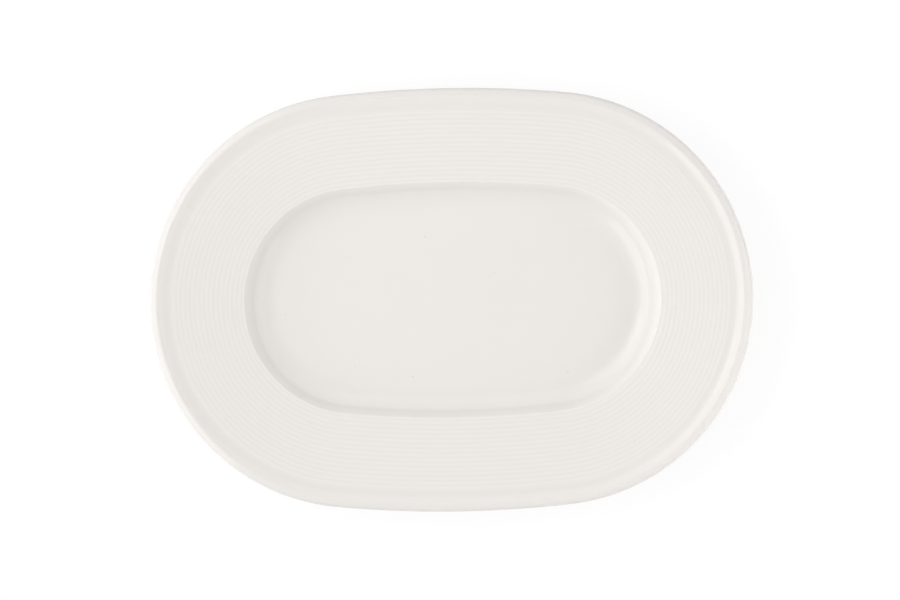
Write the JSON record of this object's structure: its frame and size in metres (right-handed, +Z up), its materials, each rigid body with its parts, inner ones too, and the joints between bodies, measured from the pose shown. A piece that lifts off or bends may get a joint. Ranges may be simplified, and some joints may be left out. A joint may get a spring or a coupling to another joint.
{
  "type": "oval plate",
  "caption": "Oval white porcelain plate with a wide ribbed rim, a rolled edge and a flat-floored oval well, standing on a low dry foot ring.",
  "frame": {"origin": "centre of the plate on the surface that its foot stands on", "axes": "+X along the plate's length, +Y along its width, +Z up out of the well"},
  "size_m": [0.3, 0.209, 0.0249],
  "materials": {
    "porcelain": "fired, unglazed",
    "glaze": "glossy"
  },
  "bodies": {
    "root": {"porcelain_body": "porcelain", "face_glaze": "glaze", "base_glaze": "glaze"}
  },
  "joints": []
}
